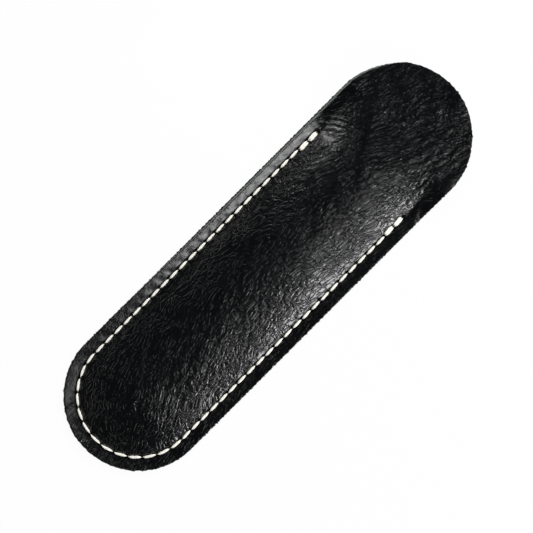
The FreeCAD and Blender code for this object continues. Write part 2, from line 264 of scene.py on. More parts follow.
def seam_relief(x, y):
    """Height that sewing adds to the grain face: outside the seam the allowance climbs evenly to its
    edge, a groove lies under the thread, with pits at the holes and puckers beside them. It all ends past
    the last stitch."""
    number = stitch_number(x, y)
    outward = seam_distance(x, y)
    share = np.maximum(outward, 0) / (END_RADIUS - SEAM_RADIUS)
    flare = RIGHT_FLARE + (LEFT_FLARE - RIGHT_FLARE) * smooth(-FLARE_BLEND, FLARE_BLEND, y)
    whole_climb = round(math.sqrt(1 + CLIMB_ROUND**2) - CLIMB_ROUND, 3)
    climb = (flare + SEAM_SINK) * (np.sqrt(share**2 + CLIMB_ROUND**2) - CLIMB_ROUND) / whole_climb
    eased = 1 - FOOT_EASE * smooth(EASE_FROM_X, EASE_TO_X, x) * share
    groove = np.exp(-((outward / GROOVE_HALF) ** 4)) * (1 - smooth(SEAM_END_X, FADE_FROM_X, x))
    beside = np.exp(-(((outward - PUCKER_OUT) / PUCKER_REACH) ** 2))
    uneven = crinkle(number, 0 * number, PUCKER_RUN, stretch=1, seed=21)
    pucker = PUCKER * beside * (np.cos(2 * np.pi * number) + PUCKER_UNEVEN * uneven)
    pressed = GROOVE_DEPTH * groove + HOLE_DEPTH * hole_pits(number, outward)
    return drawn_in(x, y) * climb * eased + sewn(x) * pucker - pressed


def parting(x, y):
    """How far the two panels part outside the seam, from nothing at the thread to most at the edge."""
    outward = seam_distance(x, y)
    return PARTING * sewn(x) * smooth(PARTING_FROM, END_RADIUS - SEAM_RADIUS, outward)


# %% [markdown]
# ## Wrinkles of the grain
# The creases of this leather run along the sleeve, leaning one way at the foot and the other way on the
# tongue. The coordinates are bent to follow them, and two fields of random creases are laid over each
# other: long soft rolls, and small pillows parted by narrow creases. A finer grain is left to the
# material's bump.

# %% Grain direction and wrinkles
FOOT_LEAN = 0.28
TONGUE_LEAN = -0.45
SWAY_ACROSS = 0.35 * MM
SWAY_ALONG = 0.8 * MM
PLAIN_GRAIN = 0.95
TONGUE_GRAIN = 0.45
TONGUE_GRAIN_X = (35 * MM, 60 * MM)
FOOT_GRAIN = 0.05
FOOT_GRAIN_X = (-25 * MM, -60 * MM)
DRAWN_SMOOTH = 0.6
DRAWN_BAND = (-1.5 * MM, 0.8 * MM)
ROLL = 0.045 * MM
ROLL_SPACING = 3.2 * MM
PILLOW = 0.10 * MM
ROW_SPACING = 1.6 * MM
CELL_SPACING = 3.0 * MM
PILLOW_SWAY = 3.4 * MM
ROW_SWAY = 1.5
CELL_SWAY = 1.8
CELL_SHARE = 0.7
VALLEY_ROUND = 0.12
PILLOW_MEAN = 1.2


def grain_lines(x, y):
    """Coordinates across and along the creases: y less the drift of a crease whose lean changes evenly
    from foot to tongue, swayed by a slow random field."""
    run = x - FOOT_X
    drift = FOOT_LEAN * run + (TONGUE_LEAN - FOOT_LEAN) * run**2 / (2 * (TIP_X - FOOT_X))
    sway = SWAY_ACROSS * crinkle(x, y, 13 * MM, stretch=1, seed=31)
    return y - drift + sway, x + SWAY_ALONG * crinkle(y, x, 17 * MM, stretch=1, seed=32)


def grain_strength(x, y):
    """Wrinkles are deepest on the tongue, a little deeper round the foot than between, and drawn smooth
    on the left allowance."""
    outward = seam_distance(x, y)
    tongue = TONGUE_GRAIN * smooth(*TONGUE_GRAIN_X, x)
    foot = FOOT_GRAIN * smooth(*FOOT_GRAIN_X, x)
    ends = PLAIN_GRAIN + tongue + foot
    drawn = DRAWN_SMOOTH * on_left(y)
    return ends * (1 - drawn * sewn(x) * smooth(*DRAWN_BAND, outward))


def ribs(place, spacing, sway):
    """Domes side by side, parted by narrow valleys: the root of a squared sine plus a little."""
    return np.sqrt(np.sin(np.pi * place / spacing + sway) ** 2 + VALLEY_ROUND)


def wrinkles(x, y):
    """Soft rolls plus pillows: rows of domes across the creases and longer ones along them, each swayed
    by a random field, so that they part and join like cells."""
    across, along = grain_lines(x, y)
    rolls = crinkle(across, along, ROLL_SPACING, stretch=1.6, seed=33)
    row_sway = ROW_SWAY * crinkle(across, along, PILLOW_SWAY, stretch=1, seed=34)
    cell_sway = CELL_SWAY * crinkle(along, across, PILLOW_SWAY, stretch=1, seed=35)
    rows = ribs(across, ROW_SPACING, row_sway)
    cells = ribs(along, CELL_SPACING, cell_sway)
    pillows = rows + CELL_SHARE * cells - PILLOW_MEAN
    return grain_strength(x, y) * (ROLL * rolls + PILLOW * pillows)


# %% [markdown]
# ## Marks of use
# Three marks make the sleeve this one: a straight fold across the left of the tongue, curved folds round
# the left end of the seam where the lip has been lifted, and a few long ridges that swing over the foot's
# right side.

# %% Fold, curved folds and ridges
FOLD_X = 60.4 * MM
FOLD_HEIGHT = 0.75 * MM
FOLD_FROM_Y = 15 * MM
FOLD_SPAN = 8 * MM
FACET_LENGTH = 3.4 * MM
FOLD_EASE = 4 * MM
CURVED_FOLDS = ((17.4 * MM, 0.32 * MM), (15.3 * MM, 0.16 * MM), (13.6 * MM, 0.08 * MM))
CURVE_X = (42 * MM, 46 * MM)
CURVE_Y = (6 * MM, 16 * MM)
RIDGE_HALF = 0.45 * MM
CREASE_OUT = 0.8 * MM
CREASE_HALF = 0.40 * MM
CREASE_SHARE = 0.6
FOOT_RIDGE = 0.09 * MM
RIDGE_SPACING = 3.4 * MM
PATCH_X = -46 * MM
PATCH_Y = -9 * MM
PATCH_LENGTH = 15 * MM
PATCH_WIDTH = 8 * MM
SETTLE = 0.22 * MM
SETTLE_SPACING = 24 * MM
SETTLE_BAND = (2 * MM, -6 * MM)


def tongue_fold(x, y):
    """A ridge across the left of the tongue: a flat facet rises to it from the foot side, wide at the
    edge and pointed inside, and beyond it the leather eases down again."""
    left = np.clip((y - FOLD_FROM_Y) / FOLD_SPAN, 0.01, 1)
    beyond = x - FOLD_X
    facet = np.clip(1 + beyond / (FACET_LENGTH * left), 0, 1)
    return FOLD_HEIGHT * left * np.where(beyond < 0, facet, np.exp(-beyond / FOLD_EASE))


def curved_folds(x, y):
    """Narrow ridges round the left end of the seam, each with a crease outside it: rounded bumps of the
    distance from a centre, fading out towards the middle line."""
    ring = from_ring(x, y)
    folds = 0 * x
    for radius, height in CURVED_FOLDS:
        ridge = np.exp(-(((ring - radius) / RIDGE_HALF) ** 2))
        crease = np.exp(-(((ring - radius - CREASE_OUT) / CREASE_HALF) ** 2))
        folds += height * (ridge - CREASE_SHARE * crease)
    return folds * smooth(*CURVE_Y, y) * smooth(*CURVE_X, x)


def foot_ridges(x, y):
    """A few long ridges over the foot's right side: a coarse crease field, kept to that patch."""
    patch = np.exp(-(((x - PATCH_X) / PATCH_LENGTH) ** 2) - ((y - PATCH_Y) / PATCH_WIDTH) ** 2)
    across, along = grain_lines(x, y)
    return FOOT_RIDGE * patch * crinkle(across, along, RIDGE_SPACING, stretch=4.5, seed=41)


def settle(x, y):
    """Slow unevenness of a soft panel that has been carried about."""
    inside = smooth(*SETTLE_BAND, crown_distance(x, y) - POCKET_REACH)
    return SETTLE * inside * crinkle(0.6 * x, y, SETTLE_SPACING, stretch=1, seed=42)


# %% [markdown]
# ## From two parameters to a closed sheet
# The grid goes once round the stadium (columns) and from the middle line out to the edge, over the cut
# edge and back in along the flesh side (rows). The columns follow the seam, so stitches and holes get
# even cells. Where the rows end, both sides meet on the middle line and are merged there, which closes
# the sheet.

# %% Columns, rows and the mesh
STITCH_COLUMNS = 12
TONGUE_COLUMNS = 46
TIP_COLUMNS = 130
HOLE_CROWDING = 0.45
SEAM_BAND_IN = 1.5 * MM
SEAM_BAND_OUT = 2.2 * MM
RIM_ROWS = 4
EDGE_ROUND = 0.45 * MM
QUARTER = np.radians(np.linspace(0, 90, 6))
MERGE_DISTANCE = 0.001 * MM


def outline_columns():
    """Start of each column on the middle line and its direction outwards, anticlockwise round the
    stadium. Along the seam the columns crowd together at the needle holes: the stitch number less a sine
    of it."""
    even = np.arange(STITCHES * STITCH_COLUMNS) / STITCH_COLUMNS
    number = even - HOLE_CROWDING * np.sin(2 * np.pi * even) / (2 * np.pi)
    seam, out = seam_point(number, SEAM_RADIUS)
    left = np.linspace(TIP_X, SEAM_END_X, TONGUE_COLUMNS, endpoint=False)
    turn = np.linspace(-np.pi / 2, np.pi / 2, TIP_COLUMNS, endpoint=False)
    right = np.linspace(SEAM_END_X, TIP_X, TONGUE_COLUMNS, endpoint=False)
    flat = np.ones(TONGUE_COLUMNS)
    spine = np.concatenate([left, seam[:, 0], right, np.full(TIP_COLUMNS, TIP_X)])
    out_x = np.concatenate([0 * flat, out[:, 0], 0 * flat, np.cos(turn)])
    out_y = np.concatenate([flat, out[:, 1], -flat, np.sin(turn)])
    return spine, out_x, out_y


def face_rows(step, seam_step):
    """Distances from the middle line out to the edge's rounding, closer together near the seam."""
    inner = np.arange(0, POCKET_REACH - SEAM_BAND_IN, step)
    seam = np.arange(inner[-1] + step, SEAM_RADIUS + SEAM_BAND_OUT, seam_step)
    return np.concatenate([inner, seam, np.linspace(seam[-1] + step, END_RADIUS - EDGE_ROUND, RIM_ROWS)])


def edge_inset():
    """How far the rounding of an edge stands in from the outline, and how far it lies below the face."""
    return EDGE_ROUND * (1 - np.sin(QUARTER)), EDGE_ROUND * (1 - np.cos(QUARTER))


def sheet_points(top, under, trim, under_trim, step, seam_step, under_step):
    """Points of a closed sheet, as rows by columns, and the finish of each row: 0 grain, 1 cut edge, 2
    flesh. top and under are heights over the plan, and each trim says how far that face's outline is cut
    back."""
    spine, out_x, out_y = outline_columns()
    inset, drop = edge_inset()
    outer = face_rows(step, seam_step)
    inner = face_rows(under_step, under_step)[::-1]
    rho = np.concatenate([outer, END_RADIUS - inset[1:], END_RADIUS - inset[::-1][1:], inner[1:]])
    low = np.concatenate([0 * outer, drop[1:], drop[::-1][1:], 0 * inner[1:]])
    is_top = np.arange(len(rho)) < len(outer) + len(inset) - 1
    edge_x = spine + END_RADIUS * out_x
    edge_y = END_RADIUS * out_y
    cut_back = np.where(is_top[:, None], trim(edge_x, edge_y), under_trim(edge_x, edge_y))
    share = 1 - cut_back / END_RADIUS
    x = spine + rho[:, None] * share * out_x
    y = rho[:, None] * share * out_y
    z = np.where(is_top[:, None], top(x, y) - low[:, None], under(x, y) + low[:, None])
    finish = np.full(len(rho), 1)
    finish[: len(outer) + len(inset) - 1] = 0
    finish[-len(inner) :] = 2
    return np.stack([x, y, z], axis=-1), finish


def grid_mesh(name, points, finish, materials):
    """A mesh from rows by columns of points: four neighbours make a face, the columns close on
    themselves, and points that meet on the middle line are merged."""
    rows, columns = points.shape[:2]
    ids = np.arange(rows * columns).reshape(rows, columns)
    ahead = np.roll(ids, -1, axis=1)
    quads = np.stack([ids[:-1], ids[1:], ahead[1:], ahead[:-1]], axis=-1).reshape(-1, 4)
    mesh = bpy.data.meshes.new(name)
    mesh.from_pydata(points.reshape(-1, 3), [], quads)
    for material in materials:
        mesh.materials.append(material)
    mesh.polygons.foreach_set("material_index", np.repeat(finish[1:], columns))
    mesh.polygons.foreach_set("use_smooth", np.ones(len(quads), bool))
    edit = bmesh.new()
    edit.from_mesh(mesh)
    bmesh.ops.remove_doubles(edit, verts=edit.verts, dist=MERGE_DISTANCE)
    edit.to_mesh(mesh)
    edit.free()
    piece = bpy.data.objects.new(name, mesh)
    bpy.context.scene.collection.objects.link(piece)
    print(name, len(mesh.vertices), "points", len(mesh.polygons), "faces")
    return piece


# %% [markdown]
# ## Leather finishes
# The grain side is nearly black with a soft gloss: almost everything that is seen on it is reflected
# light, so its roughness and bump matter more than its colour. Cells stretched along the sleeve make the
# fine grain. The cut edge is dyed black; along the left side towards the mouth it is painted pale, partly
# the core's colour and partly a painted highlight where the edge faced the light. The flesh side is a dull
# suede.

# %% Grain, cut edge and flesh
GRAIN_STRETCH = 2.1
GRAIN_RELIEF = 0.088 * MM
GRAIN_DARK = (0.0012, 0.0015, 0.0019)
GRAIN_LIGHT = (0.0024, 0.0028, 0.0033)
FINE_SHARE = 1.7
BURNISH_SMOOTHS = 0.45
BURNISH_POLISH = 0.05
EDGE_DYE = (0.004, 0.004, 0.004)
# The pale front edge colour is partly the core's colour and partly a painted highlight.
FRONT_CORE_AND_HIGHLIGHT = (0.16, 0.19, 0.16)
BACK_CORE = (0.006, 0.006, 0.006)
NAP_DARK = (0.003, 0.003, 0.003)
NAP_LIGHT = (0.022, 0.022, 0.021)
TURNED_GLOSS = 0.35
FOOT_GLOSS = 0.20
BURNISH_END = (41 * MM, 43 * MM)
BURNISH_BAND = (0.4 * MM, 1.2 * MM)
TURNED_Y = (8 * MM, 16 * MM)
WORN_X = (-65 * MM, -15 * MM)


def burnished(x, y):
    """1 on the sewn allowance on the left, which rubbing has made smooth and glossy, less towards the foot
    and inside the curved folds round the seam's end, else 0."""
    outward = seam_distance(x, y)
    past_end = smooth(*BURNISH_END, x)
    inside_fold = smooth(RING_RADIUS, RING_RADIUS - 1 * MM, from_ring(x, y))
    turned = TURNED_GLOSS * inside_fold * past_end * smooth(*TURNED_Y, y)
    worn = FOOT_GLOSS + (1 - FOOT_GLOSS) * smooth(*WORN_X, x)
    allowance = on_left(y) * smooth(*BURNISH_BAND, outward) * (1 - past_end)
    return np.maximum(worn * allowance, turned)


def mark_grain(piece):
    """Stores at each point the grain's own coordinates, along and across in millimetres, and the burnish."""
    place = np.empty(3 * len(piece.data.vertices))
    piece.data.vertices.foreach_get("co", place)
    x, y = place.reshape(-1, 3)[:, :2].T
    across, along = grain_lines(x, y)
    marks = np.stack([along / MM, across / MM, burnished(x, y)], axis=-1)
    piece.data.attributes.new("grain", "FLOAT_VECTOR", "POINT").data.foreach_set("vector", marks.ravel())


def new_material(name):
    """An empty shader tree with one Principled shader: returns the material, its nodes, links and shader."""
    material = bpy.data.materials.new(name)
    material.use_nodes = True
    nodes = material.node_tree.nodes
    return material, nodes, material.node_tree.links, nodes["Principled BSDF"]


def noise(nodes, links, vector, scale, detail, roughness=0.55):
    """A noise texture on the given coordinates."""
    node = nodes.new("ShaderNodeTexNoise")
    node.inputs["Scale"].default_value = scale
    node.inputs["Detail"].default_value = detail
    node.inputs["Roughness"].default_value = roughness
    links.new(vector, node.inputs["Vector"])
    return node.outputs["Fac"]


def ramp(nodes, links, value, low, high, dark, light):
    """A colour ramp from dark at low to light at high."""
    node = nodes.new("ShaderNodeValToRGB")
    first, last = node.color_ramp.elements
    first.position, first.color = low, (*dark, 1)
    last.position, last.color = high, (*light, 1)
    links.new(value, node.inputs["Fac"])
    return node.outputs["Color"]


def spread(nodes, links, value, from_low, from_high, to_low, to_high):
    """Maps a value smoothly from one range to another."""
    node = nodes.new("ShaderNodeMapRange")
    node.interpolation_type = "SMOOTHSTEP"
    sockets = ("From Min", "From Max", "To Min", "To Max")
    for socket, number in zip(sockets, (from_low, from_high, to_low, to_high)):
        node.inputs[socket].default_value = number
    links.new(value, node.inputs["Value"])
    return node.outputs["Result"]


def combine(nodes, links, operation, first, second):
    """A Math node on two values, each a socket or a number."""
    node = nodes.new("ShaderNodeMath")
    node.operation = operation
    for socket, value in zip(node.inputs, (first, second)):
        if isinstance(value, (int, float)):
            socket.default_value = value
        else:
            links.new(value, socket)
    return node.outputs["Value"]


def bump(nodes, links, shader, height, strength, distance):
    """Puts a height on the shader's normal."""
    node = nodes.new("ShaderNodeBump")
    node.inputs["Strength"].default_value = strength
    node.inputs["Distance"].default_value = distance
    links.new(height, node.inputs["Height"])
    links.new(node.outputs["Normal"], shader.inputs["Normal"])


def grain_leather():
    """Black grain on the marks of mark_grain: stretched cells parted by creases, a finer ridged grain
    between them, and a gloss that varies from place to place and is highest on the burnished
    allowance."""
    material, nodes, links, shader = new_material("leather_grain")
    marks = nodes.new("ShaderNodeAttribute")
    marks.attribute_name = "grain"
    parts = nodes.new("ShaderNodeSeparateXYZ")
    links.new(marks.outputs["Vector"], parts.inputs["Vector"])
    stretched = nodes.new("ShaderNodeMapping")
    stretched.inputs["Scale"].default_value = (1 / GRAIN_STRETCH, 1, 0)
    links.new(marks.outputs["Vector"], stretched.inputs["Vector"])
    sway = nodes.new("ShaderNodeTexNoise")
    sway.inputs["Scale"].default_value = 0.7
    sway.inputs["Detail"].default_value = 2
    links.new(stretched.outputs["Vector"], sway.inputs["Vector"])
    place = nodes.new("ShaderNodeVectorMath")
    place.operation = "MULTIPLY_ADD"
    place.inputs[1].default_value = (0.8, 0.8, 0)
    links.new(sway.outputs["Color"], place.inputs[0])
    links.new(stretched.outputs["Vector"], place.inputs[2])
    vector = place.outputs["Vector"]
    cells = nodes.new("ShaderNodeTexVoronoi")
    cells.feature = "DISTANCE_TO_EDGE"
    cells.inputs["Scale"].default_value = 0.95
    links.new(vector, cells.inputs["Vector"])
    creases = spread(nodes, links, cells.outputs["Distance"], 0, 0.20, 0, 1)
    fine = noise(nodes, links, vector, 1.0, 3, 0.45)
    height = combine(nodes, links, "ADD", creases, combine(nodes, links, "MULTIPLY", fine, FINE_SHARE))
    burnish = parts.outputs["Z"]
    eased = combine(nodes, links, "MULTIPLY", burnish, BURNISH_SMOOTHS)
    smoothed = combine(nodes, links, "SUBTRACT", 1, eased)
    bump(nodes, links, shader, combine(nodes, links, "MULTIPLY", height, smoothed), 1.0, GRAIN_RELIEF)
    cloud = noise(nodes, links, marks.outputs["Vector"], 0.09, 4)
    colour = ramp(nodes, links, cloud, 0.3, 0.7, GRAIN_DARK, GRAIN_LIGHT)
    links.new(colour, shader.inputs["Base Color"])
    rough = spread(nodes, links, cloud, 0.25, 0.75, 0.20, 0.26)
    polish = combine(nodes, links, "MULTIPLY", burnish, BURNISH_POLISH)
    links.new(combine(nodes, links, "SUBTRACT", rough, polish), shader.inputs["Roughness"])
    smudges = spread(nodes, links, noise(nodes, links, vector, 0.7, 5, 0.6), 0.32, 0.68, 0.40, 1.0)
    links.new(combine(nodes, links, "MULTIPLY", burnish, smudges), shader.inputs["Coat Weight"])
    shader.inputs["Coat Roughness"].default_value = 0.24
    shader.inputs["Coat IOR"].default_value = 2.4
    shader.inputs["Specular IOR Level"].default_value = 0.5
    return material


def cut_edge(name, core_and_highlight):
    """The cut edge: dyed black, and painted pale along the left side towards the mouth, partly the core's
    colour and partly a painted highlight where the edge faced the light.
    """
    material, nodes, links, shader = new_material(name)
    place = nodes.new("ShaderNodeTexCoord")
    parts = nodes.new("ShaderNodeSeparateXYZ")
    links.new(place.outputs["Object"], parts.inputs["Vector"])
    # Painted highlight: the pale colour is kept to the left side towards the mouth, where the edge faced the
    # light.
    leftward = spread(nodes, links, parts.outputs["Y"], 17 * MM, 22 * MM, 0, 1)
    mouthward = spread(nodes, links, parts.outputs["X"], -30 * MM, 5 * MM, 0, 1)
    fibres = noise(nodes, links, place.outputs["Object"], 1800, 4)
    bare_and_highlight = combine(nodes, links, "MULTIPLY", combine(nodes, links, "MULTIPLY", leftward, mouthward), fibres)
    colour = ramp(nodes, links, bare_and_highlight, 0.05, 0.6, EDGE_DYE, core_and_highlight)
    links.new(colour, shader.inputs["Base Color"])
    bump(nodes, links, shader, fibres, 0.5, 0.08 * MM)
    shader.inputs["Roughness"].default_value = 0.85
    shader.inputs["Specular IOR Level"].default_value = 0.15
    return material


def flesh_suede():
    """The inside: short dull nap, dyed grey black."""
    material, nodes, links, shader = new_material("leather_flesh")
    place = nodes.new("ShaderNodeTexCoord")
    nap = noise(nodes, links, place.outputs["Object"], 1100, 6, 0.7)
    brushed = noise(nodes, links, place.outputs["Object"], 130, 5, 0.65)
    half_nap = combine(nodes, links, "MULTIPLY", nap, 0.5)
    half_brushed = combine(nodes, links, "MULTIPLY", brushed, 0.5)
    mottled = combine(nodes, links, "ADD", half_nap, half_brushed)
    colour = ramp(nodes, links, mottled, 0.36, 0.64, NAP_DARK, NAP_LIGHT)
    links.new(colour, shader.inputs["Base Color"])
    bump(nodes, links, shader, nap, 1.0, 0.20 * MM)
    shader.inputs["Roughness"].default_value = 0.95
    shader.inputs["Specular IOR Level"].default_value = 0.10
    shader.inputs["Sheen Weight"].default_value = 0.04
    return material


GRAIN = grain_leather()
FLESH = flesh_suede()
FRONT_FINISHES = [GRAIN, cut_edge("front_cut_edge", FRONT_CORE_AND_HIGHLIGHT), FLESH]
BACK_FINISHES = [GRAIN, cut_edge("back_cut_edge", BACK_CORE), FLESH]

# %% [markdown]
# ## The front leather
# The form, the seam's valley, the wrinkles and the marks of use are simply added: each is a height over
# the plan. The flesh side follows the plain form. On the left the panel was cut a hair short, so the back
# panel's edge shows beside it.

# %% Front leather
EDGE_NIBBLE = 0.06 * MM
NIBBLE_SPACING = 1.4 * MM
FIBRE_LENGTH = 0.22 * MM
FIBRE_SPACING = 0.9 * MM
FIBRE_LEVELS = (1.1, 2.2)
CUT_SHORT = 0.90 * MM
BEVEL = 0.45 * MM
BEVEL_X = (-45 * MM, 0 * MM)
BEVEL_Y = (15 * MM, 22 * MM)
HAIRLINE = 0.02 * MM
THINNEST = 0.12 * MM


def edge_nibble(x, y, seed):
    """A cut edge is never quite smooth: a random field of some hundredths of a millimetre, and here and
    there a fibre stands out, where a finer field is high."""
    fibres = smooth(*FIBRE_LEVELS, crinkle(x, y, FIBRE_SPACING, stretch=0.4, seed=seed + 10))
    uneven = crinkle(x, y, NIBBLE_SPACING, stretch=0.4, seed=seed)
    return EDGE_NIBBLE * uneven - FIBRE_LENGTH * fibres


def bevelled(x, y):
    """1 along the upper left edge, where the front panel is cut short and its edge is bevelled, else 0."""
    return smooth(*BEVEL_X, x) * smooth(*BEVEL_Y, y)


def front_trim(x, y):
    """How far the grain side of the front panel is cut back."""
    return CUT_SHORT * bevelled(x, y) + edge_nibble(x, y, seed=51)


def front_under_trim(x, y):
    """How far the flesh side of the front panel is cut back: less, so that the bevel shows from above."""
    return (CUT_SHORT - BEVEL) * bevelled(x, y) + edge_nibble(x, y, seed=51)


def front_under(x, y):
    """Flesh side of the front panel: the form where it stands off, else a hairline above the back panel."""
    form = front_form(x, y)
    return LEATHER + HAIRLINE + parting(x, y) + (form + np.sqrt(form**2 + BASE_ROUND**2)) / 2


def front_top(x, y):
    """Grain side of the front panel. Even in a needle hole some leather is left."""
    marks = tongue_fold(x, y) + curved_folds(x, y) + foot_ridges(x, y) + settle(x, y)
    height = 2 * LEATHER + front_form(x, y) + seam_relief(x, y) + wrinkles(x, y) + marks
    return np.maximum(height, front_under(x, y) + THINNEST)


points, finish = sheet_points(
    front_top, front_under, front_trim, front_under_trim,
    step=0.37 * MM, seam_step=0.22 * MM, under_step=1.5 * MM,
)
front_leather = grid_mesh("front_leather", points, finish, FRONT_FINISHES)
mark_grain(front_leather)
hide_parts("front_panel", "front_lip")

# %% [markdown]
# ## The back leather
# The back panel lies flat. Its grain side is underneath, with a channel that lets the bobbin thread lie
# below the surface, so the sleeve rests on leather and not on stitches.

# %% Back leather
BACK_CHANNEL = 1.05 * MM
CHANNEL_HALF = 0.95 * MM
CHANNEL_FADE = (SEAM_END_X + 0.5 * MM, SEAM_END_X + 3 * MM)
BACK_GRAIN_LIFT = 0.06 * MM
BACK_CUT = 0.05 * MM


def back_trim(x, y):
    """The back panel keeps the full outline, apart from the knife's unevenness."""
    return edge_nibble(x, y, seed=52) + BACK_CUT


def back_top(x, y):
    """Flesh side of the back panel: level."""
    return LEATHER + 0 * x


def back_under(x, y):
    """Grain side of the back panel: level, with wrinkles and the channel pressed in from below."""
    outward = seam_distance(x, y)
    channel_end = 1 - smooth(*CHANNEL_FADE, x)
    channel = BACK_CHANNEL * channel_end * np.exp(-((outward / CHANNEL_HALF) ** 4))
    shallow = np.maximum(wrinkles(x, y) + BACK_GRAIN_LIFT, 0)
    return channel + shallow


points, finish = sheet_points(
    back_top, back_under, back_trim, back_trim,
    step=1.5 * MM, seam_step=0.9 * MM, under_step=0.42 * MM,
)
back_leather = grid_mesh("back_leather", points, 2 - finish, BACK_FINISHES)
mark_grain(back_leather)
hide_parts("back_panel", "back_lip")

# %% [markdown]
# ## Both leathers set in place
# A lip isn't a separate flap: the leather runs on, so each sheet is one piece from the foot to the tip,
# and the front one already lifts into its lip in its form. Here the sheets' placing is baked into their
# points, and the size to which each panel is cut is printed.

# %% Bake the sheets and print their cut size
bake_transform(front_leather)
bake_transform(back_leather)
CUT_SIZE = (2 * END_RADIUS, TIP_X - FOOT_X + 2 * END_RADIUS)
print("each panel is cut to", [round(side / MM, 1) for side in CUT_SIZE], "mm")

# %% [markdown]
# ## The stitching
# A lockstitch has one thread on each face. Each comes up out of a needle hole, lies along the leather and
# dives into the next, and the two lock inside. The path is a wave with a flat top and a tight turn below;
# the first and last two stitches are sewn twice, one time a little nearer to the pocket. Every stitch
# lies slightly askew, as a pointed needle makes it. Three plies wind round the path and make the thread's
# section.

# %% Path and section of a thread
STEPS = 44
PLIES = 3
LAY = 1.7 * MM
RING = 15
SLANT = 0.06 * MM
LOCKED_SHIFT = 0.62 * MM
LEG_CROWDING = 0.30
DIVE_PHASES = (2.85, 1.75)
SWELL_PHASES = (2.7, 0.7)
NARROWEST = 0.42
PLY_VALLEY = 0.88
PLY_RISE = 0.16


def stitch_order():
    """Needle holes in the order in which they are sewn, and the inward shift of each stitch."""
    holes = np.concatenate([[2, 1], np.arange(STITCHES + 1), [STITCHES - 1, STITCHES - 2]])
    shift = np.zeros(len(holes) - 1)
    shift[:2] = LOCKED_SHIFT
    shift[-2:] = LOCKED_SHIFT
    return holes.astype(float), shift


def thread_path(bed, low):
    """Centre line of one thread that lies on a bed, a height over the plan, with its directions outwards
    and its share of the full width. Within a stitch the wave's phase t runs from minus pi to pi: the
    place along is t plus a sine, which keeps the legs in the holes, the lift is a steep S, and the thread
    is narrow where it dives."""
    holes, shift = stitch_order()
    t = np.linspace(-np.pi, np.pi, STEPS, endpoint=False)
    share = 0.5 + (t + LEG_CROWDING * np.sin(t)) / (2 * np.pi)
    lift = smooth(*DIVE_PHASES, np.abs(t))
    number = (holes[:-1, None] + np.diff(holes)[:, None] * share).ravel()
    askew = SLANT * np.sin(t) * lift
    inward = (shift[:, None] + np.diff(holes)[:, None] * askew).ravel()
    plan, out = seam_point(number, inward)
    raised = np.tile(lift, len(shift))
    height = low + (bed(plan[:, 0], plan[:, 1]) - low) * raised
    swelling = smooth(*SWELL_PHASES, np.abs(t))
    tight = np.tile(NARROWEST + (1 - NARROWEST) * swelling, len(shift))
    return np.column_stack([plan, height]), np.column_stack([out, np.zeros(len(out))]), tight


def twisted_thread(name, path, side, tight, material):
    """A tube along a path whose section is three plies that turn with the distance along: the radius
    falls in the grooves between them. Its ends are closed by a point."""
    run = np.gradient(path, axis=0)
    run /= np.linalg.norm(run, axis=1, keepdims=True)
    side = side - run * (side * run).sum(axis=1, keepdims=True)
    side /= np.linalg.norm(side, axis=1, keepdims=True)
    up = np.cross(run, side)
    gone = np.concatenate([[0], np.cumsum(np.linalg.norm(np.diff(path, axis=0), axis=1))])
    around = np.linspace(0, 2 * np.pi, RING, endpoint=False)
    groove = np.abs(np.cos(PLIES / 2 * (around - 2 * np.pi * gone[:, None] / (PLIES * LAY))))
    radius = THREAD / 2 * tight[:, None] * (PLY_VALLEY + PLY_RISE * np.sqrt(groove))
    radius[[0, -1]] = 0
    ring = np.cos(around)[:, None] * side[:, None] + np.sin(around)[:, None] * up[:, None]
    points = path[:, None] + radius[..., None] * ring
    piece = grid_mesh(name, points, np.zeros(len(path), int), [material])
    print(name, "is", round(gone[-1] / MM), "mm of thread in", len(path) // STEPS, "stitches")
    return piece


# %% [markdown]
# ## Thread finish
# Waxed linen-white thread: matt and mottled by fine fibres, with painted shade, darker and warmer, deep in
# the holes.

# %% Thread material and both threads
# Painted shade: the thread's colour deep in the needle holes.
THREAD_PAINTED_SHADE = (0.06, 0.04, 0.02)
THREAD_PALE = (0.96, 0.94, 0.86)


def cream_thread(name, painted_shade_z, painted_clear_z):
    """Cream thread with painted shade: darker and warmer towards the inside of the seam, where it dives into
    the holes.
    """
    material, nodes, links, shader = new_material(name)
    place = nodes.new("ShaderNodeTexCoord")
    parts = nodes.new("ShaderNodeSeparateXYZ")
    links.new(place.outputs["Object"], parts.inputs["Vector"])
    # Painted shade: the colour runs from the pale thread to a dark warm brown as the thread dives below its
    # top.
    clear_of_painted_shade = spread(nodes, links, parts.outputs["Z"], painted_shade_z, painted_clear_z, 0, 1)
    fibres = noise(nodes, links, place.outputs["Object"], 5200, 3)
    mottled = combine(nodes, links, "MULTIPLY", clear_of_painted_shade, combine(nodes, links, "ADD", 0.72, fibres))
    colour = ramp(nodes, links, mottled, 0.1, 1.1, THREAD_PAINTED_SHADE, THREAD_PALE)
    links.new(colour, shader.inputs["Base Color"])
    bump(nodes, links, shader, fibres, 0.25, 0.03 * MM)
    shader.inputs["Roughness"].default_value = 0.72
    shader.inputs["Sheen Weight"].default_value = 0.2
    return material


NEEDLE_TOP = 2 * LEATHER - SEAM_SINK - GROOVE_DEPTH + 0.55 * MM
NEEDLE_LOW = needle_low.z + 0.1 * MM
BOBBIN_LOW = BACK_CHANNEL / 2 + 0.05 * MM
BOBBIN_TOP = 2 * LEATHER - NEEDLE_LOW


def needle_bed(x, y):
    """The needle thread lies in its groove and follows the arch where a stitch is shifted inwards."""
    return NEEDLE_TOP + SEAM_SINK + front_form(x, y)


def bobbin_bed(x, y):
    """The bobbin thread lies level in the channel of the back panel."""
    return BOBBIN_LOW + 0 * x


path, side, tight = thread_path(needle_bed, NEEDLE_LOW)
